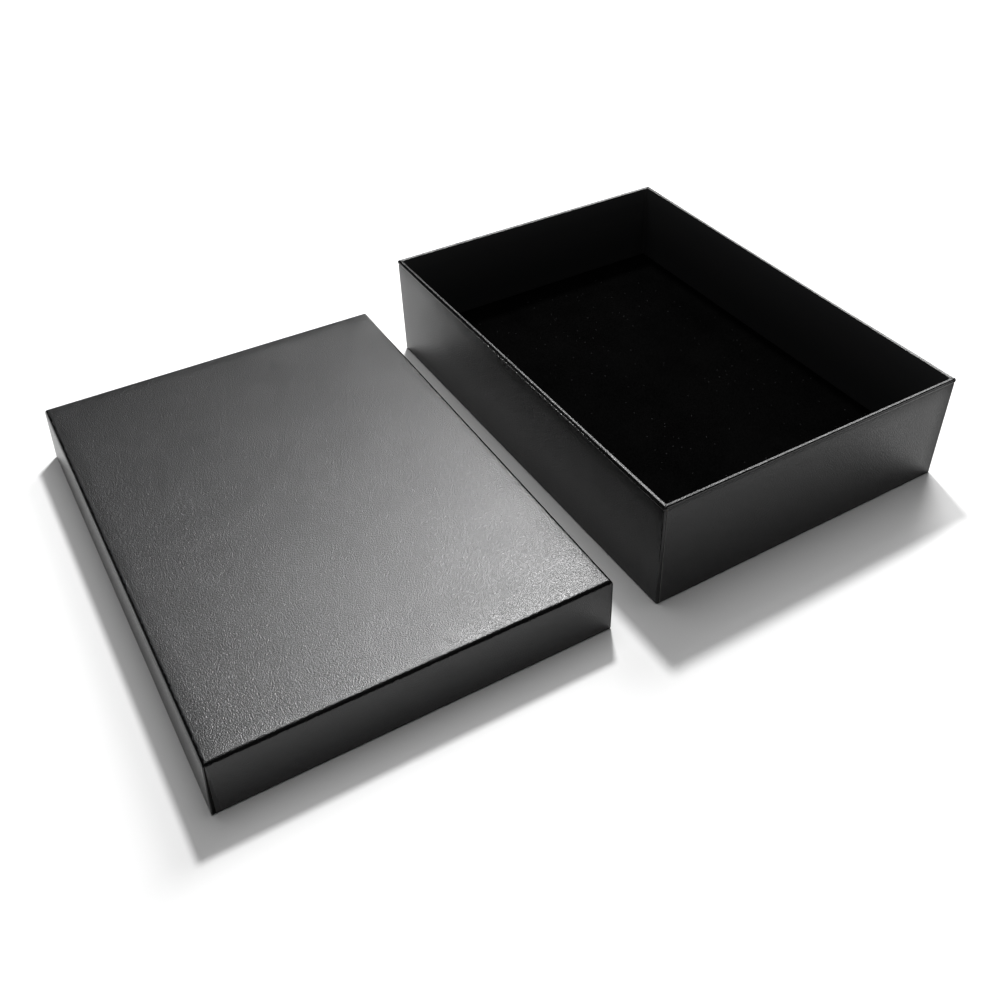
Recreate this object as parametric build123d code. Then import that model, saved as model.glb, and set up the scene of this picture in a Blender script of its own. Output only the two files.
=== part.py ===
from build123d import *
from collections import namedtuple
import os

# Gift box: a rigid paper-covered box in two pieces, an open base and a telescoping lid.
#
# Millimetres. X runs across the box, Y along its length and Z up. The origin is the centre of the
# base's underside. The base stands there, and the lid lies top-up beside it, on the -X side.

# The base, outside its paper.
base_width = 210.0
base_length = 300.0
base_height = 70.0

# The layers of both trays.
board = 1.8  # greyboard
paper = 0.25  # leather-grain wrapping paper
tape = 0.15  # gummed corner tape, and the glue line beside it
covered_wall = paper + tape + board + paper  # with the paper turned in over its inside
covered_floor = paper + board

# The lid slides over the base, with lid_room on every side.
lid_room = 0.35
lid_width = base_width + 2 * (covered_wall + lid_room)
lid_length = base_length + 2 * (covered_wall + lid_room)
lid_height = 36.0
lid_lean = 3.0  # its left wall has sprung outward by this much at the open edge

# Where the lid lies.
lid_x = -240.9
lid_y = 3.5
lid_turn = -0.9  # degrees

# Folds, slits and tapes.
base_fold = 1.0  # radius of the paper round the underside and the upright corners
lid_fold = 2.0
rim_fold = 1.0
corner_slit = 0.3  # between two walls of a folded board
tape_leg = 20.0  # along each wall from the corner

# The pad on the base's floor.
pad_top = 17.0
pad_room = 0.25  # to the walls
card = 1.0
velvet = 0.8
velvet_radius = 1.5
velvet_turn_in = 15.0

# The paper sheet inside the lid's top.
lining = 0.2
lining_room = 1.0

# A tray opens upward. Its +X wall leans out by lean at the rim, and fold is the radius of its folds.
Tray = namedtuple("Tray", "width length height lean fold")
base_tray = Tray(base_width, base_length, base_height, 0.0, base_fold)
lid_tray = Tray(lid_width, lid_length, lid_height, lid_lean, lid_fold)
pad_block = Tray(
    base_width - 2 * (covered_wall + pad_room),
    base_length - 2 * (covered_wall + pad_room),
    pad_top,
    0.0,
    velvet_radius,
)


def block(tray, inset, low, high):
    """A block from height low to high, whose upright faces stand inset inside the tray's outside."""

    def right(z):
        return tray.width / 2 - inset + tray.lean * z / tray.height

    left = -tray.width / 2 + inset
    outline = Polyline((left, low), (right(low), low), (right(high), high), (left, high), close=True)
    return extrude(Plane.XZ * make_face(outline), tray.length / 2 - inset, both=True)


def round_corners(solid, tray, inset, radius):
    """The solid with its four outside upright edges rounded."""
    end = tray.length / 2 - inset
    uprights = [edge for edge in solid.edges() if is_near(abs(edge.center().Y), end) and is_upright(edge)]
    return fillet(uprights, radius)


def is_near(value, target):
    return abs(value - target) < 0.01


def is_upright(edge):
    low = edge.position_at(0).Z
    high = edge.position_at(1).Z
    return abs(high - low) > edge.length / 2


def hollow_tray(tray, outer_inset, inner_inset, skin):
    """A tray with rounded folds. Its walls lie between two insets, and skin is left off all round."""
    rim = tray.height - skin
    solid = block(tray, outer_inset, skin, rim) - block(tray, inner_inset, covered_floor, tray.height)
    solid = round_corners(solid, tray, outer_inset, tray.fold - skin)
    solid = fillet([edge for edge in solid.edges() if is_level(edge, skin)], tray.fold - skin)
    return fillet([edge for edge in solid.edges() if is_level(edge, rim)], rim_fold - skin)


def is_level(edge, z):
    return is_near(edge.position_at(0).Z, z) and is_near(edge.position_at(1).Z, z)


def folded_board(tray):
    """The scored blank, folded up. Its end walls stand between its long walls, a slit away."""
    inside_board = covered_wall - paper
    blank = hollow_tray(tray, paper + tape, inside_board, paper)
    long_tray = tray._replace(length=tray.length + 4 * covered_wall)
    longer_tray = tray._replace(length=tray.length + 8 * covered_wall)
    between_long_walls = block(long_tray, inside_board, covered_floor, tray.height)
    between_slits = block(longer_tray, inside_board + corner_slit, covered_floor, tray.height)
    return blank - (between_long_walls - between_slits)


def corner_tape(tray, x_side, y_side):
    """The strip of tape round one upright corner of the board, between its folds."""
    radius = tray.fold - paper
    outside = round_corners(block(tray, paper, tray.fold, tray.height - rim_fold), tray, paper, radius)
    inside = round_corners(block(tray, paper + tape, 0, tray.height), tray, paper + tape, radius)
    place = Pos(x_side * tray.width / 2, y_side * tray.length / 2, tray.height / 2)
    corner = place * Box(2 * (tape_leg + tray.lean), 2 * tape_leg, tray.height)
    return (outside - inside) & corner


def wrap(tray):
    """One sheet of paper over the floor, the walls and the rim, and down the inside of the walls."""
    pocket = hollow_tray(tray, paper, covered_wall - paper, paper)
    return hollow_tray(tray, 0, covered_wall, 0) - pocket


def velvet_cover():
    """Velvet over the top and the sides of the pad, turned in under it."""
    cover = block(pad_block, 0, covered_floor, pad_top)
    underside = cover.faces().sort_by(Axis.Z)[0]
    folds = [edge for edge in cover.edges() if edge.center().Z > underside.center().Z + velvet]
    cover = fillet(folds, velvet_radius)
    cover -= block(pad_block, velvet, covered_floor + velvet, pad_top - velvet)
    return cover - block(pad_block, velvet_turn_in, covered_floor, covered_floor + velvet)


def tray_pieces(name, tray, placed, flipped):
    """A tray's board, tapes and wrap, in place, by node name. Turning a tray over swaps its sides."""
    pieces = {
        name + "_board": placed * folded_board(tray),
        name + "_wrap": placed * wrap(tray),
    }
    for x_side in (-1, 1):
        for y_side in (-1, 1):
            side = "left" if (x_side < 0) != flipped else "right"
            end = "front" if y_side < 0 else "back"
            pieces[f"{name}_stay_{end}_{side}"] = placed * corner_tape(tray, x_side, y_side)
    return pieces


def pad_pieces():
    """The card, the foam and the velvet of the floor pad, from the floor up."""
    card_low = covered_floor + velvet
    card_high = card_low + card
    return {
        "pad_card": block(pad_block, velvet, card_low, card_high),
        "pad_foam": block(pad_block, velvet, card_high, pad_top - velvet),
        "pad_velvet": velvet_cover(),
    }


def lid_lining(placed):
    """The paper sheet inside the lid's top."""
    return placed * block(lid_tray, covered_wall + lining_room, covered_floor, covered_floor + lining)


base_placed = Pos(0, 0, 0)
lid_placed = Pos(lid_x, lid_y, lid_height) * Rot(0, 0, lid_turn) * Rot(0, 180, 0)

nodes = tray_pieces("base", base_tray, base_placed, flipped=False)
nodes.update(pad_pieces())
nodes.update(tray_pieces("lid", lid_tray, lid_placed, flipped=True))
nodes["lid_lining"] = lid_lining(lid_placed)

os.makedirs("parts", exist_ok=True)
for node, piece in nodes.items():
    export_step(piece, f"parts/{node}.step")
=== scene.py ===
"""The looks of the gift box: its paper coverings and velvet pad, every finish, floor, lights and camera.

Metres, in the CAD's frame: X across the box, Y along it, Z up, the base's underside on the floor.
"""

import bmesh
import bpy
import math
from mathutils import Matrix, Quaternion, Vector


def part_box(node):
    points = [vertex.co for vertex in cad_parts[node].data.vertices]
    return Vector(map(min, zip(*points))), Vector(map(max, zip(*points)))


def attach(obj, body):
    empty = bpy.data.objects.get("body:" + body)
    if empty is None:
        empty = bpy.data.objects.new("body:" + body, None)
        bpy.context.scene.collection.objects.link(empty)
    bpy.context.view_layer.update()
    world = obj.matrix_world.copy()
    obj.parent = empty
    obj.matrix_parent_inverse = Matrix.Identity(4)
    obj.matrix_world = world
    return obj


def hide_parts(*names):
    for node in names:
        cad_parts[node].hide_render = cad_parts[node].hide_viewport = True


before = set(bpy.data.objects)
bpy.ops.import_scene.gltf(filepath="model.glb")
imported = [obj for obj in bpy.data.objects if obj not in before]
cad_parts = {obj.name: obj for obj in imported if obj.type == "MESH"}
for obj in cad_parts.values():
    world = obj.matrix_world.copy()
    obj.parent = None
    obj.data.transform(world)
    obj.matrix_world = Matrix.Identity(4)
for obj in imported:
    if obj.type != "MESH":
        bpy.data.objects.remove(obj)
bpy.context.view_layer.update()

MM = 0.001

# The two trays, as the CAD has them: a wall is board between two layers of paper.
PAPER = 0.25 * MM
WALL = 2.45 * MM
FLOOR = 2.05 * MM
LID_WIDTH = 215.6 * MM
LID_LENGTH = 305.6 * MM
LID_CENTRE = Vector((-240.9 * MM, 3.5 * MM, 0))
LID_TURN = math.radians(-0.9)
LID_LEAN = 3.0 * MM  # of the lid's left wall, at its open edge

# How the paper folds round the board.
FOLD_RIM_OUTSIDE = 1.3 * MM
FOLD_RIM_INSIDE = 0.4 * MM
FOLD_BASE = 1.0 * MM
FOLD_LID = 2.5 * MM
UPRIGHT_BASE = 1.2 * MM
UPRIGHT_LID = 0.6 * MM
FOLD_INSIDE_CORNER = 1.6 * MM
WIDEST_FOLD = 2.6 * MM  # the bevel that a weight of 1 stands for
FOLD_STEPS = 6

# The open seam down each corner, on the end wall, and the paper that curls up beside it.
SEAM_WIDTH = 0.45 * MM
SEAM_SPRUNG = 1.7 * MM  # its width at the open edge, beside a wall that has sprung outward
SEAM_FROM_FOLD = 0.1 * MM
SEAM_DEPTH = 0.14 * MM
SEAM_LIP = 1.0 * MM
SEAM_LIFT = 0.28 * MM

# The slit across each corner of the rim, where two turned-in papers meet.
MITRE_WIDTH = 0.7 * MM
MITRE_DEPTH = 0.16 * MM
MITRE_REACH = 7 * MM

# The bead that the paper makes below the rim: how far down it starts, dips and ends.
BEAD_TOP = 1.7 * MM
BEAD_DIP = 2.5 * MM
BEAD_END = 3.3 * MM
BEAD_DEPTH = 0.22 * MM

# The ear of folded paper at each corner of the rim.
EAR_REACH = 2.2 * MM
EAR_OUT = 0.25 * MM
EAR_UP = 0.30 * MM

# How far apart the cuts are that let a wall bow, and how the walls bow.
STATION = 11 * MM
BOW = 0.18 * MM
BOW_LENGTH = 0.09
BOW_INWARD = 0.35  # the share of the bow that goes inward

# The velvet pad.
PAD_CROWN = 0.4 * MM
PAD_SHRINK = 0.2 * MM
PAD_EDGE = 1.0 * MM
PAD_STATION = 6 * MM
PAD_PRESSURE = 4
PAD_PRESSING = 12  # steps of cloth

# The grain of the paper: how many waves of each kind a metre holds, and its depth.
WINDING = 1280
PEBBLES = 1530
GRAIN_DEPTH = 0.135 * MM
SWELL = 22
SWELL_DEPTH = 0.12 * MM

# Finishes of the paper. A pair is the bottom and the top of its grain.
LID_TINTS = (0.001, 0.014)
BASE_TINTS = (0.002, 0.006)
# The paper turned in is several times paler than the same paper outside: painted light on the inner walls,
# which lie in shade.
INSIDE_TINT = 0.026
INSIDE_RIM_PAINTED_LIGHT = 2.0  # how much paler the paper is painted at the rim: painted light on the tops of the inner walls
BLUISH = 1.03  # how much more blue than red the black paper has
FOLD_ROUGHNESS = 0.22


# ---------------------------------------------------------------- modelling


def start_block(name, low, high):
    """A block between two corners, left in edit mode."""
    low, high = Vector(low), Vector(high)
    bpy.ops.object.select_all(action="DESELECT")
    bpy.ops.mesh.primitive_cube_add(size=1, location=(low + high) / 2, scale=high - low)
    piece = bpy.context.object
    piece.name = name
    bpy.ops.object.transform_apply(location=True, rotation=True, scale=True)
    bpy.ops.object.mode_set(mode="EDIT")
    return piece


def pick_faces(piece, wanted):
    """Selects the faces whose middle and normal are wanted."""
    bpy.ops.mesh.select_mode(type="FACE")
    bpy.ops.mesh.select_all(action="DESELECT")
    mesh = bmesh.from_edit_mesh(piece.data)
    for face in mesh.faces:
        if wanted(face.calc_center_median(), face.normal):
            face.select_set(True)
    bmesh.update_edit_mesh(piece.data)


def pick_edges(piece, wanted):
    """Selects the edges whose two ends are wanted."""
    bpy.ops.mesh.select_mode(type="EDGE")
    bpy.ops.mesh.select_all(action="DESELECT")
    mesh = bmesh.from_edit_mesh(piece.data)
    for edge in mesh.edges:
        if wanted(edge.verts[0].co, edge.verts[1].co):
            edge.select_set(True)
    bmesh.update_edit_mesh(piece.data)


def apply_modifier(piece, kind, **settings):
    """Adds a modifier to the piece and applies it, in object mode."""
    modifier = piece.modifiers.new(kind.title(), kind)
    for setting, value in settings.items():
        setattr(modifier, setting, value)
    bpy.context.view_layer.objects.active = piece
    bpy.ops.object.modifier_apply(modifier=modifier.name)


def cut_every(low, high, step):
    """Cuts all of the piece in edit mode by planes across each axis, step apart, so that it can bend."""
    for axis in range(3):
        across = Vector([float(i == axis) for i in range(3)])
        count = max(1, round((high[axis] - low[axis]) / step))
        for i in range(1, count):
            place = Vector(low).lerp(Vector(high), i / count)
            bpy.ops.mesh.select_all(action="SELECT")
            bpy.ops.mesh.bisect(plane_co=place, plane_no=across)


def near(a, b, within=0.05 * MM):
    return abs(a - b) < within


def assign(piece, slot):
    """Gives the selected faces the material in this slot."""
    piece.active_material_index = slot
    bpy.ops.object.material_slot_assign()


def soften(piece, angle=30):
    """Shades the piece smooth but for its sharp edges."""
    bpy.ops.object.select_all(action="DESELECT")
    piece.select_set(True)
    bpy.context.view_layer.objects.active = piece
    bpy.ops.object.shade_smooth_by_angle(angle=math.radians(angle))


# ---------------------------------------------------------------- the paper coverings


class Tray:
    """An open tray in its own frame: it stands on its closed side, and its +X wall leans out.

    Centre and turn say where it lies on the floor.
    """

    def __init__(self, size, fold, upright_fold, lean=0.0, centre=(0, 0, 0), turn=0.0):
        self.width, self.length, self.height = size
        self.fold = fold
        self.upright_fold = upright_fold
        self.lean = lean
        self.centre = centre
        self.turn = turn

    def corners(self):
        """The tray's two opposite corners, but for its lean."""
        low = Vector((-self.width / 2, -self.length / 2, 0))
        high = Vector((self.width / 2, self.length / 2, self.height))
        return low, high

    def side(self, x_side, z):
        """Where the outside of the -X or +X wall is, at height z."""
        return x_side * self.width / 2 + (self.lean * z / self.height if x_side > 0 else 0)

    def rim_corner(self, x_side, y_side):
        return Vector((self.side(x_side, self.height), y_side * self.length / 2, self.height))

    def on_end(self, place, within=0.05 * MM):
        """Whether a place is on the outside of an end wall, where every outside corner is."""
        return near(abs(place.y), self.length / 2, within)


def folded_tray(name, tray):
    """The outside of a tray, hollowed, with its one leaning wall. Left in edit mode."""
    piece = start_block(name, *tray.corners())
    pick_faces(piece, lambda middle, normal: normal.z > 0.9)
    bpy.ops.mesh.inset(thickness=WALL)
    bpy.ops.mesh.extrude_region_move(TRANSFORM_OT_translate={"value": (0, 0, FLOOR - tray.height)})
    pick_faces(piece, lambda middle, normal: normal.z > 0.9 and middle.x > tray.width / 2 - WALL)
    bpy.ops.transform.translate(value=(tray.lean, 0, 0))
    return piece


def round_folds(piece, tray):
    """Rounds every fold by its own radius. Starts in edit mode and ends in object mode."""

    def weigh(radius, wanted):
        pick_edges(piece, wanted)
        bpy.ops.transform.edge_bevelweight(value=radius / WIDEST_FOLD)

    def upright(a, b):
        return abs(a.z - b.z) > tray.height / 2

    def on_rim(a, b):
        return near(a.z, tray.height) and near(b.z, tray.height)

    def outside(a, b):
        return tray.on_end(a) and tray.on_end(b)

    def inside(a, b):
        return not tray.on_end(a) and not tray.on_end(b)

    weigh(tray.upright_fold, lambda a, b: upright(a, b) and outside(a, b))
    weigh(FOLD_INSIDE_CORNER, lambda a, b: upright(a, b) and inside(a, b))
    weigh(tray.fold, lambda a, b: near(a.z, 0) and near(b.z, 0))
    weigh(FOLD_RIM_OUTSIDE, lambda a, b: on_rim(a, b) and outside(a, b))
    weigh(FOLD_RIM_INSIDE, lambda a, b: on_rim(a, b) and inside(a, b))
    bpy.ops.object.mode_set(mode="OBJECT")
    apply_modifier(
        piece, "BEVEL", width=WIDEST_FOLD, segments=FOLD_STEPS, limit_method="WEIGHT", profile=0.5
    )


def bead_below_rim(piece, tray):
    """Presses a shallow dip into the outside walls, a little below the rim."""

    def outside_wall(middle, normal):
        outermost = abs(middle.x) > tray.width / 2 - 2 * MM or tray.on_end(middle, 2 * MM)
        return outermost and abs(normal.z) < 0.2 and middle.dot(normal) > 0

    for drop in (BEAD_TOP, BEAD_DIP, BEAD_END):
        pick_faces(piece, outside_wall)
        bpy.ops.mesh.bisect(plane_co=(0, 0, tray.height - drop), plane_no=(0, 0, 1))
    dip = tray.height - BEAD_DIP
    pick_edges(piece, lambda a, b: near(a.z, dip) and near(b.z, dip))
    bpy.ops.transform.shrink_fatten(value=-BEAD_DEPTH)


def corner_signs():
    return [(x_side, y_side) for x_side in (-1, 1) for y_side in (-1, 1)]


def seam_plane(tray, x_side, closed_in, open_in):
    """The upright plane so far in from a corner at the tray's closed side and at its open edge."""
    closed = Vector((tray.side(x_side, 0) - x_side * closed_in, 0, 0))
    opened = Vector((tray.side(x_side, tray.height) - x_side * open_in, 0, tray.height))
    along = (opened - closed).normalized()
    return closed, Vector((-x_side * along.z, 0, x_side * along.x))


def beyond(place, plane):
    """How far a place is past a plane."""
    on_plane, normal = plane
    return (place - on_plane).dot(normal)


def open_seam_with_painted_shade(piece, tray, slots, x_side, y_side):
    """Cuts a narrow open seam down one outside corner, with the end wall's paper curling up beside it, and
    gives the seam's floor a painted shade.
    """
    end = y_side * tray.length / 2
    seam_in = tray.upright_fold + SEAM_FROM_FOLD
    sprung = SEAM_SPRUNG if x_side > 0 and tray.lean else SEAM_WIDTH
    near_side = seam_plane(tray, x_side, seam_in, seam_in)
    far_side = seam_plane(tray, x_side, seam_in + SEAM_WIDTH, seam_in + sprung)
    curl_end = seam_plane(tray, x_side, seam_in + SEAM_WIDTH + SEAM_LIP, seam_in + sprung + SEAM_LIP)

    def by_end_wall(middle):
        return near(middle.y, end, 0.4 * MM)

    def on_end_wall(middle, normal):
        return normal.y * y_side > 0.9 and by_end_wall(middle)

    def in_seam(middle, normal):
        return on_end_wall(middle, normal) and beyond(middle, near_side) > 0 > beyond(middle, far_side)

    def on_curl(place):
        return near(place.y, end) and near(beyond(place, far_side), 0)

    def seam_wall(middle, normal):
        return abs(normal.x) > 0.9 and near(beyond(middle, far_side), 0) and by_end_wall(middle)

    for place, inward in (near_side, far_side, curl_end):
        pick_faces(piece, on_end_wall)
        bpy.ops.mesh.bisect(plane_co=place, plane_no=inward)
    pick_faces(piece, in_seam)
    bpy.ops.mesh.extrude_region_move(TRANSFORM_OT_translate={"value": (0, -y_side * SEAM_DEPTH, 0)})
    # The seam's floor is near-black and matte: painted shade in the narrow gap.
    assign(piece, slots["seam_painted_shade"])
    pick_edges(piece, lambda a, b: on_curl(a) and on_curl(b))
    bpy.ops.transform.translate(value=(0, y_side * SEAM_LIFT, 0))
    pick_faces(piece, seam_wall)
    assign(piece, slots["cut edge"])


def slit_rim_corner(piece, tray, slots, x_side, y_side):
    """Cuts the slit across one corner of the rim, and gives its floor a painted shade."""
    corner = tray.rim_corner(x_side, y_side)
    across = Vector((x_side, -y_side, 0)).normalized()

    def on_rim_top(middle, normal):
        return normal.z > 0.2 and middle.z > tray.height - FOLD_RIM_OUTSIDE

    def in_slit(middle, normal):
        away = middle - corner
        close = abs(away.x) < MITRE_REACH and abs(away.y) < MITRE_REACH
        return close and on_rim_top(middle, normal) and abs(away.dot(across)) < MITRE_WIDTH / 2

    for shift in (-MITRE_WIDTH / 2, MITRE_WIDTH / 2):
        pick_faces(piece, on_rim_top)
        bpy.ops.mesh.bisect(plane_co=corner + across * shift, plane_no=across)
    pick_faces(piece, in_slit)
    bpy.ops.mesh.extrude_region_move(TRANSFORM_OT_translate={"value": (0, 0, -MITRE_DEPTH)})
    # The slit's floor is near-black and matte: painted shade in the narrow gap.
    assign(piece, slots["seam_painted_shade"])


def lift_ear(piece, tray, x_side, y_side):
    """Pushes up the little folded ear of paper at one outside corner of the rim."""
    corner = tray.rim_corner(x_side, y_side)
    bpy.ops.mesh.select_mode(type="VERT")
    bpy.ops.mesh.select_all(action="DESELECT")
    mesh = bmesh.from_edit_mesh(piece.data)
    for vertex in mesh.verts:
        if (vertex.co - corner).length < EAR_REACH:
            vertex.select_set(True)
    bmesh.update_edit_mesh(piece.data)
    bpy.ops.transform.translate(value=(x_side * EAR_OUT, y_side * EAR_OUT, EAR_UP))


def line_inside(piece, tray, slots):
    """Gives the paper inside the tray its own finish, up to the rim's fold."""
    slack = 0.2 * MM

    def inside(middle, normal):
        across = abs(middle.x) < tray.width / 2 + tray.lean - WALL + slack
        along = abs(middle.y) < tray.length / 2 - WALL + slack
        below_rim = FLOOR / 2 < middle.z < tray.height - FOLD_RIM_INSIDE
        outward = normal.x * middle.x > 0.5 * abs(middle.x) and abs(middle.x) > tray.width / 2 - WALL / 2
        return across and along and below_rim and not outward

    pick_faces(piece, inside)
    assign(piece, slots["inside"])


def bow_walls(piece):
    """Lets the walls and panels wander a little, as paper over board does."""
    waves = bpy.data.textures.new(piece.name + "_bow", "CLOUDS")
    waves.noise_scale = BOW_LENGTH
    waves.noise_depth = 1
    apply_modifier(piece, "DISPLACE", texture=waves, strength=BOW, mid_level=BOW_INWARD)
    bpy.data.textures.remove(waves)


def covering(name, tray, beaded, materials):
    """One tray's paper: a skin one paper thick round the whole board. A beaded one has ears too."""
    piece = folded_tray(name, tray)
    round_folds(piece, tray)
    slots = {}
    for use, material in materials.items():
        slots[use] = len(piece.data.materials)
        piece.data.materials.append(material)
    bpy.ops.object.mode_set(mode="EDIT")
    if beaded:
        bead_below_rim(piece, tray)
    for x_side, y_side in corner_signs():
        open_seam_with_painted_shade(piece, tray, slots, x_side, y_side)
    for x_side, y_side in corner_signs():
        slit_rim_corner(piece, tray, slots, x_side, y_side)
    line_inside(piece, tray, slots)
    if beaded:
        for x_side, y_side in corner_signs():
            lift_ear(piece, tray, x_side, y_side)
    cut_every(*tray.corners(), STATION)
    bpy.ops.mesh.select_all(action="SELECT")
    bpy.ops.mesh.remove_doubles(threshold=0.02 * MM)
    bpy.ops.object.mode_set(mode="OBJECT")
    bow_walls(piece)
    apply_modifier(piece, "SOLIDIFY", thickness=PAPER, offset=-1, use_even_offset=False)
    soften(piece)
    return piece


def lay_upside_down(piece, tray):
    """Turns a tray's covering over onto its open side, where the tray lies."""
    turned_over = Matrix.Rotation(math.pi, 4, "Y")
    turned = Matrix.Rotation(tray.turn, 4, "Z")
    lifted = Matrix.Translation(tray.centre + Vector((0, 0, tray.height)))
    piece.matrix_world = lifted @ turned @ turned_over
    bpy.ops.object.select_all(action="DESELECT")
    piece.select_set(True)
    bpy.context.view_layer.objects.active = piece
    bpy.ops.object.transform_apply(location=True, rotation=True, scale=True)


# ---------------------------------------------------------------- the pad


def velvet_pad(low, high):
    """The pad of card and foam in its velvet, slightly crowned and soft at its edges."""
    shrink = Vector((PAD_SHRINK, PAD_SHRINK, 0))
    top = Vector((high.x, high.y, high.z - PAD_CROWN))
    piece = start_block("velvet_pad", low + shrink, top - shrink)
    cut_every(low, high, PAD_STATION)

    def on_edge(place):
        on_side = near(place.x, low.x, MM) or near(place.x, high.x, MM)
        on_end = near(place.y, low.y, MM) or near(place.y, high.y, MM)
        return near(place.z, top.z) and (on_side or on_end)

    pick_edges(piece, lambda a, b: on_edge(a) and on_edge(b))
    bpy.ops.mesh.bevel(offset=PAD_EDGE, segments=3, profile=0.5, affect="EDGES")
    bpy.ops.object.mode_set(mode="OBJECT")
    hold_sides(piece, top.z)
    fill_out(piece)
    soften(piece, 60)
    return piece


def hold_sides(piece, top):
    """Names the points that the card and the walls hold still: all those below the pad's top."""
    held = piece.vertex_groups.new(name="held")
    still = [v.index for v in piece.data.vertices if v.co.z < top - 0.1 * MM]
    held.add(still, 1.0, "REPLACE")


def fill_out(piece):
    """Presses the foam up against the velvet as cloth, and no further than the pad's crown."""
    flat = [v.co.copy() for v in piece.data.vertices]
    cloth = piece.modifiers.new("Cloth", "CLOTH")
    cloth.settings.use_pressure = True
    cloth.settings.uniform_pressure_force = PAD_PRESSURE
    cloth.settings.vertex_group_mass = "held"
    cloth.settings.effector_weights.gravity = 0
    cloth.settings.quality = 5
    scene = bpy.context.scene
    for step in range(1, PAD_PRESSING + 1):
        scene.frame_set(step)
    bpy.context.view_layer.objects.active = piece
    bpy.ops.object.modifier_apply(modifier=cloth.name)
    scene.frame_set(1)
    for vertex, start in zip(piece.data.vertices, flat):
        rise = vertex.co - start
        if rise.length > PAD_CROWN:
            vertex.co = start + rise.normalized() * PAD_CROWN


# ---------------------------------------------------------------- materials


def new_finish(name):
    """A material with its tree and its shader."""
    material = bpy.data.materials.new(name)
    material.use_nodes = True
    tree = material.node_tree
    return material, tree, tree.nodes["Principled BSDF"]


def add(tree, kind, settings=None, **inputs):
    """Adds a node, with its settings, and with each input set or linked. Returns the node."""
    made = tree.nodes.new("ShaderNode" + kind)
    for setting, value in (settings or {}).items():
        setattr(made, setting, value)
    for name, value in inputs.items():
        connect(tree, made.inputs[name.replace("_", " ")], value)
    return made


def connect(tree, socket, value):
    """Links another node's output to the socket, or sets the socket to a plain value."""
    if isinstance(value, bpy.types.NodeSocket):
        tree.links.new(value, socket)
    else:
        socket.default_value = value


def calculate(tree, operation, *values):
    """One Math node over one to three values or sockets. Returns its output."""
    made = tree.nodes.new("ShaderNodeMath")
    made.operation = operation
    for socket, value in zip(made.inputs, values):
        connect(tree, socket, value)
    return made.outputs[0]


def smooth_step(tree, value, low, high, to_low=0.0, to_high=1.0):
    """Goes smoothly from to_low to to_high as the value goes from low to high."""
    made = add(
        tree,
        "MapRange",
        {"interpolation_type": "SMOOTHSTEP"},
        Value=value,
        From_Min=low,
        From_Max=high,
        To_Min=to_low,
        To_Max=to_high,
    )
    return made.outputs["Result"]


def place_on_piece(tree, centre=(0, 0, 0), turn=0.0):
    """Coordinates in metres from the piece's own centre, turned with it."""
    coordinates = tree.nodes.new("ShaderNodeTexCoord")
    mapping = add(
        tree,
        "Mapping",
        {"vector_type": "TEXTURE"},
        Vector=coordinates.outputs["Object"],
        Location=centre,
        Rotation=(0, 0, turn),
    )
    return mapping.outputs["Vector"]


def noise(tree, place, per_metre, detail=2.0, roughness=0.5, distortion=0.0):
    """A cloudy pattern with so many waves a metre, from 0 to 1."""
    made = add(
        tree,
        "TexNoise",
        Vector=place,
        Scale=per_metre,
        Detail=detail,
        Roughness=roughness,
        Distortion=distortion,
    )
    return made.outputs["Fac"]


def tint(tree, height, dark, light, dark_at=0.0, light_at=1.0):
    """A colour that goes from dark to light with the height of a pattern."""
    ramp = add(tree, "ValToRGB", Fac=height)
    first, last = ramp.color_ramp.elements
    first.position = dark_at
    first.color = (*dark, 1)
    last.position = light_at
    last.color = (*light, 1)
    return ramp.outputs["Color"]


def bump(tree, height, depth):
    """A Bump node for the height of a pattern that stands this deep."""
    return add(tree, "Bump", Strength=1.0, Distance=depth, Height=height)


def set_shine(shader, gloss, roughness=None):
    """Sets how much the surface mirrors and, if it is the same all over, how rough it is."""
    shader.inputs["Specular IOR Level"].default_value = gloss
    if roughness is not None:
        shader.inputs["Roughness"].default_value = roughness


def black(brightness):
    return (brightness, brightness, brightness * BLUISH)


def distance_from_fold(tree, place, tray):
    """How far a place on a tray's outside is from its nearest fold: the middle of three distances."""
    parts = add(tree, "SeparateXYZ", Vector=place).outputs
    from_side = calculate(tree, "SUBTRACT", tray.width / 2, calculate(tree, "ABSOLUTE", parts["X"]))
    from_end = calculate(tree, "SUBTRACT", tray.length / 2, calculate(tree, "ABSOLUTE", parts["Y"]))
    from_level = calculate(tree, "MINIMUM", parts["Z"], calculate(tree, "SUBTRACT", tray.height, parts["Z"]))
    nearer = calculate(tree, "MINIMUM", from_side, from_end)
    further = calculate(tree, "MAXIMUM", from_side, from_end)
    return calculate(tree, "MAXIMUM", nearer, calculate(tree, "MINIMUM", further, from_level))


def leather_grain(tree, place):
    """How high the leather grain stands: short winding ridges among small pebbles."""
    winding = noise(tree, place, WINDING, detail=1.0, roughness=0.5, distortion=0.6)
    off_middle = calculate(tree, "ABSOLUTE", calculate(tree, "SUBTRACT", winding, 0.5))
    ridges = smooth_step(tree, off_middle, 0.0, 0.09, 1.0, 0.0)
    pebbles = noise(tree, place, PEBBLES, detail=0.0)
    grain = calculate(tree, "MULTIPLY_ADD", ridges, 0.22, calculate(tree, "MULTIPLY", pebbles, 1.3))
    uneven = smooth_step(tree, noise(tree, place, 30, detail=3), 0.3, 0.7, 0.9, 1.0)
    return calculate(tree, "MULTIPLY", grain, uneven)


def away_from_folds(tree, place, tray, fold_band):
    """1 where the grain is whole, and 0 within fold_band of a fold, up to an uneven line."""
    wander = calculate(tree, "SUBTRACT", noise(tree, place, 420, detail=3), 0.5)
    wander = calculate(tree, "MULTIPLY", wander, 1.6 * MM)
    from_fold = calculate(tree, "ADD", distance_from_fold(tree, place, tray), wander)
    return smooth_step(tree, from_fold, fold_band * 0.8, fold_band * 1.15)


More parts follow.
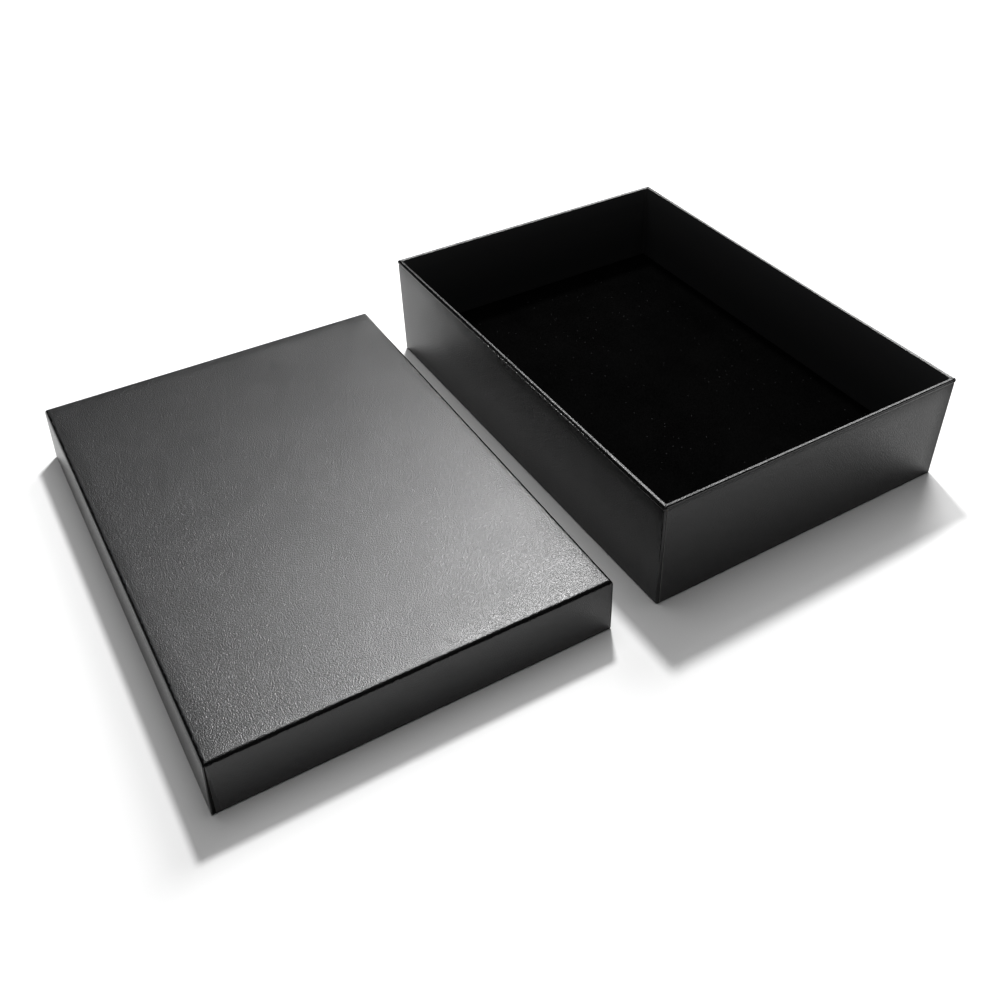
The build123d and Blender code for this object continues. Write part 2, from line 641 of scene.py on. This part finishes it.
def leather_grain_paper(name, tray, fold_band, dull, gloss, tints):
    """Black paper embossed with a fine leather grain, which is stretched smooth along the folds."""
    material, tree, shader = new_finish(name)
    place = place_on_piece(tree, tray.centre, tray.turn)
    embossed = away_from_folds(tree, place, tray, fold_band)
    grain = calculate(tree, "MULTIPLY", leather_grain(tree, place), embossed)
    # The panel under the paper isn't quite flat.
    swell = bump(tree, noise(tree, place, SWELL, detail=2), SWELL_DEPTH)
    fine = bump(tree, grain, GRAIN_DEPTH)
    tree.links.new(swell.outputs["Normal"], fine.inputs["Normal"])
    tree.links.new(fine.outputs["Normal"], shader.inputs["Normal"])
    # The pressed folds are shinier than the grain, and handling leaves faint dull patches.
    patches = noise(tree, place, 45, detail=4, roughness=0.6)
    satin = calculate(tree, "MULTIPLY_ADD", patches, 0.08, dull)
    shine = smooth_step(tree, embossed, 0.0, 1.0, FOLD_ROUGHNESS, satin)
    tree.links.new(shine, shader.inputs["Roughness"])
    dark, light = tints
    tree.links.new(tint(tree, grain, black(dark), black(light)), shader.inputs["Base Color"])
    set_shine(shader, gloss)
    return material


def paper_turned_in(name, rim):
    """The paper inside a tray: pressed smooth against the board, paler than the same paper outside, and
    paler still towards the rim, all painted light on the inner walls.
    """
    material, tree, shader = new_finish(name)
    place = place_on_piece(tree)
    up = add(tree, "SeparateXYZ", Vector=place).outputs["Z"]
    # Painted light: the paper gets paler up the walls towards the rim.
    tint_with_painted_light = smooth_step(tree, up, 0.35 * rim, rim, INSIDE_TINT, INSIDE_TINT * INSIDE_RIM_PAINTED_LIGHT)
    blue = calculate(tree, "MULTIPLY", tint_with_painted_light, BLUISH)
    colour = add(tree, "CombineColor", Red=tint_with_painted_light, Green=tint_with_painted_light, Blue=blue).outputs["Color"]
    tree.links.new(colour, shader.inputs["Base Color"])
    swell = bump(tree, noise(tree, place, SWELL, detail=2), SWELL_DEPTH)
    tree.links.new(swell.outputs["Normal"], shader.inputs["Normal"])
    set_shine(shader, 0.3, FOLD_ROUGHNESS)
    return material


def fibres(name, dark, light, per_metre, depth, roughness, stretch=(1, 1, 1)):
    """A pulpy, fibrous sheet: board, kraft tape or uncoated paper."""
    material, tree, shader = new_finish(name)
    place = place_on_piece(tree)
    stretched = add(tree, "Mapping", Vector=place, Scale=stretch).outputs["Vector"]
    pulp = noise(tree, stretched, per_metre, detail=6, roughness=0.65, distortion=0.4)
    flecks = noise(tree, place, per_metre * 3.1, detail=2)
    mixed = calculate(tree, "MULTIPLY_ADD", flecks, 0.35, calculate(tree, "MULTIPLY", pulp, 0.65))
    tree.links.new(tint(tree, mixed, dark, light, 0.3, 0.7), shader.inputs["Base Color"])
    tree.links.new(bump(tree, mixed, depth).outputs["Normal"], shader.inputs["Normal"])
    set_shine(shader, 0.25, roughness)
    return material


def open_cell_foam(name):
    """Grey foam, all small open cells."""
    material, tree, shader = new_finish(name)
    place = place_on_piece(tree)
    cells = add(tree, "TexVoronoi", {"feature": "F1"}, Vector=place, Scale=900.0).outputs["Distance"]
    pores = smooth_step(tree, cells, 0.1, 0.55)
    colour = tint(tree, pores, (0.02, 0.02, 0.022), (0.13, 0.13, 0.14))
    tree.links.new(colour, shader.inputs["Base Color"])
    tree.links.new(bump(tree, pores, 0.4 * MM).outputs["Normal"], shader.inputs["Normal"])
    set_shine(shader, 0.1, 0.95)
    return material


def black_velvet(name):
    """Deep black velvet with a faint sheen, uneven pile and a few specks of lint."""
    material, tree, shader = new_finish(name)
    place = place_on_piece(tree)
    pile = noise(tree, place, 1900, detail=2, roughness=0.6)
    lay = noise(tree, place, 38, detail=3, roughness=0.55)
    shade = calculate(tree, "MULTIPLY_ADD", lay, 0.25, pile)
    velvet = tint(tree, shade, (0.0001,) * 3, (0.0016,) * 3, 0.45, 0.85)
    specked = add(tree, "Mix", {"data_type": "RGBA"}, Factor=lint(tree, place))
    connect(tree, specked.inputs[6], velvet)
    connect(tree, specked.inputs[7], (0.035, 0.035, 0.036, 1))
    tree.links.new(specked.outputs[2], shader.inputs["Base Color"])
    tree.links.new(bump(tree, pile, 0.25 * MM).outputs["Normal"], shader.inputs["Normal"])
    set_shine(shader, 0.0, 1.0)
    shader.inputs["Sheen Weight"].default_value = 0.002
    shader.inputs["Sheen Roughness"].default_value = 0.5
    return material


def lint(tree, place):
    """1 on a few small specks, one in some of the cells of a coarse scatter."""
    scatter = add(tree, "TexVoronoi", {"feature": "F1"}, Vector=place, Scale=520.0)
    chance = add(tree, "SeparateColor", Color=scatter.outputs["Color"]).outputs["Red"]
    speck = calculate(tree, "LESS_THAN", scatter.outputs["Distance"], 0.12)
    chosen = calculate(tree, "GREATER_THAN", chance, 0.93)
    return calculate(tree, "MULTIPLY", speck, chosen)


# ---------------------------------------------------------------- putting it together


def base_and_lid_trays():
    """The two trays, sized by the CAD's own boxes where they stand square."""
    low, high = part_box("base_wrap")
    lid_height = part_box("lid_wrap")[1].z
    base = Tray(high - low, FOLD_BASE, UPRIGHT_BASE)
    lid_size = (LID_WIDTH, LID_LENGTH, lid_height)
    lid = Tray(lid_size, FOLD_LID, UPRIGHT_LID, LID_LEAN, LID_CENTRE, LID_TURN)
    return base, lid


def cover_trays(base, lid):
    """Wraps both trays in their paper."""
    shared = {
        "inside": paper_turned_in("paper_turned_in", base.height),
        # Near-black and matte: the painted shade in the open seams and rim slits.
        "seam_painted_shade": fibres("open_seam_with_painted_shade", (0.001,) * 3, (0.006,) * 3, 1500, 0.03 * MM, 1.0),
        "cut edge": fibres("cut_paper_edge", (0.10, 0.10, 0.10), (0.30, 0.29, 0.28), 1500, 0.03 * MM, 0.8),
    }
    base_paper = leather_grain_paper("leather_grain_paper_base", base, 1.1 * MM, 0.26, 0.30, BASE_TINTS)
    base_covering = covering("base_covering", base, True, {"paper": base_paper, **shared})
    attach(base_covering, "base")
    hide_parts("base_wrap")

    lid_paper = leather_grain_paper("leather_grain_paper_lid", lid, 1.6 * MM, 0.27, 0.46, LID_TINTS)
    lid_covering = covering("lid_covering", lid, False, {"paper": lid_paper, **shared})
    lay_upside_down(lid_covering, lid)
    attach(lid_covering, "lid")
    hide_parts("lid_wrap")


def lay_pad():
    """Lays the velvet pad on the base's floor."""
    pad = velvet_pad(*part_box("pad_velvet"))
    pad.data.materials.append(black_velvet("black_velvet"))
    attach(pad, "base")
    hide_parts("pad_velvet")


def finish(nodes, material):
    """Gives each CAD node this material alone."""
    for node in nodes:
        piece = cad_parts[node]
        piece.data.materials.clear()
        piece.data.materials.append(material)


def finish_hidden_pieces():
    """The finishes of the board, tapes, card, foam and lining, which keep their CAD shapes."""
    board = fibres("greyboard", (0.20, 0.19, 0.17), (0.36, 0.34, 0.31), 700, 0.08 * MM, 0.9)
    finish(["base_board", "lid_board"], board)
    tape_colours = (0.28, 0.19, 0.10), (0.46, 0.33, 0.20)
    tape = fibres("kraft_corner_tape", *tape_colours, 900, 0.04 * MM, 0.75, (1, 1, 0.2))
    finish([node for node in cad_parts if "_stay_" in node], tape)
    card_colours = (0.26, 0.24, 0.21), (0.42, 0.39, 0.35)
    finish(["pad_card"], fibres("pad_card", *card_colours, 800, 0.05 * MM, 0.9, (1, 0.3, 1)))
    finish(["pad_foam"], open_cell_foam("pad_foam"))
    lining_colours = (0.006,) * 3, (0.016,) * 3
    lining = fibres("black_lining_paper", *lining_colours, 1100, 0.04 * MM, 0.7, (1, 0.4, 1))
    finish(["lid_lining"], lining)


base_tray, lid_tray = base_and_lid_trays()
cover_trays(base_tray, lid_tray)
lay_pad()
finish_hidden_pieces()


# ---------------------------------------------------------------- floor, lights and camera

FLOOR_REACH = 2.4
FLOOR_FADES = (0.8, 1.7)  # how far out the floor starts and ends its fade
FLOOR_GREY = (0.62, 0.62, 0.62, 1)
ROOM_SEEN = 0.95
ROOM_LIGHT = 0.02
LIGHTS_AIM = Vector((-0.1, 0, 0))
CAMERA_PLACE = Vector((-0.3734, -0.4646, 0.4340))
CAMERA_LOOKS = Vector((0.3967, 0.6410, -0.6570))
CAMERA_ROLL = math.radians(-0.48)
CAMERA_LENS = 39.3  # on a 36 mm sensor
CAMERA_SHIFT = (-0.040, -0.002)


def pale_floor():
    """A pale floor that fades into the pale room far out."""
    bpy.ops.object.select_all(action="DESELECT")
    bpy.ops.mesh.primitive_plane_add(size=2 * FLOOR_REACH, location=(0, 0, 0))
    plane = bpy.context.object
    plane.name = "pale_floor"
    bpy.ops.object.transform_apply(location=True, rotation=True, scale=True)
    material, tree, shader = new_finish("pale_floor")
    shader.inputs["Base Color"].default_value = FLOOR_GREY
    set_shine(shader, 0.1, 0.9)
    out = add(tree, "VectorMath", {"operation": "LENGTH"}, Vector=place_on_piece(tree)).outputs["Value"]
    faded = smooth_step(tree, out, *FLOOR_FADES)
    clear = tree.nodes.new("ShaderNodeBsdfTransparent")
    mixed = tree.nodes.new("ShaderNodeMixShader")
    tree.links.new(faded, mixed.inputs[0])
    tree.links.new(shader.outputs[0], mixed.inputs[1])
    tree.links.new(clear.outputs[0], mixed.inputs[2])
    tree.links.new(mixed.outputs[0], tree.nodes["Material Output"].inputs["Surface"])
    plane.data.materials.append(material)


def pale_room():
    """A room that looks pale and gives only a little light."""
    world = bpy.data.worlds.new("pale_room")
    world.use_nodes = True
    tree = world.node_tree
    background = tree.nodes["Background"]
    background.inputs["Color"].default_value = (1, 1, 1, 1)
    seen = tree.nodes.new("ShaderNodeLightPath").outputs["Is Camera Ray"]
    strength = smooth_step(tree, seen, 0.0, 1.0, ROOM_LIGHT, ROOM_SEEN)
    tree.links.new(strength, background.inputs["Strength"])
    bpy.context.scene.world = world


def soft_light(name, place, width, height, watts, shape="RECTANGLE"):
    """An area light at a place, turned to face the box."""
    light = bpy.data.lights.new(name, "AREA")
    light.shape = shape
    light.size = width
    if shape == "RECTANGLE":
        light.size_y = height
    light.energy = watts
    lamp = bpy.data.objects.new(name, light)
    lamp.location = place
    lamp.rotation_euler = (LIGHTS_AIM - Vector(place)).to_track_quat("-Z", "Y").to_euler()
    bpy.context.scene.collection.objects.link(lamp)


def camera():
    """A camera above the front left, looking down on both pieces."""
    lens = bpy.data.cameras.new("camera")
    lens.sensor_width = 36
    lens.lens = CAMERA_LENS
    lens.shift_x, lens.shift_y = CAMERA_SHIFT
    eye = bpy.data.objects.new("camera", lens)
    rolled = Quaternion((0, 0, 1), CAMERA_ROLL)
    eye.rotation_mode = "QUATERNION"
    eye.rotation_quaternion = CAMERA_LOOKS.to_track_quat("-Z", "Y") @ rolled
    eye.location = CAMERA_PLACE
    bpy.context.scene.collection.objects.link(eye)
    bpy.context.scene.camera = eye


pale_floor()
pale_room()
soft_light("key", (0.305, 0.669, 1.40), 0.17, 0.17, 32, "DISK")
soft_light("back_right_softbox", (1.2, 1.1, 1.6), 0.9, 0.9, 43)
soft_light("low_right_softbox", (1.9, 1.4, 1.1), 1.3, 1.2, 24)
soft_light("top_softbox", (-0.1, 0.1, 2.2), 1.5, 1.5, 28)
camera()
bpy.context.scene.view_settings.view_transform = "Standard"
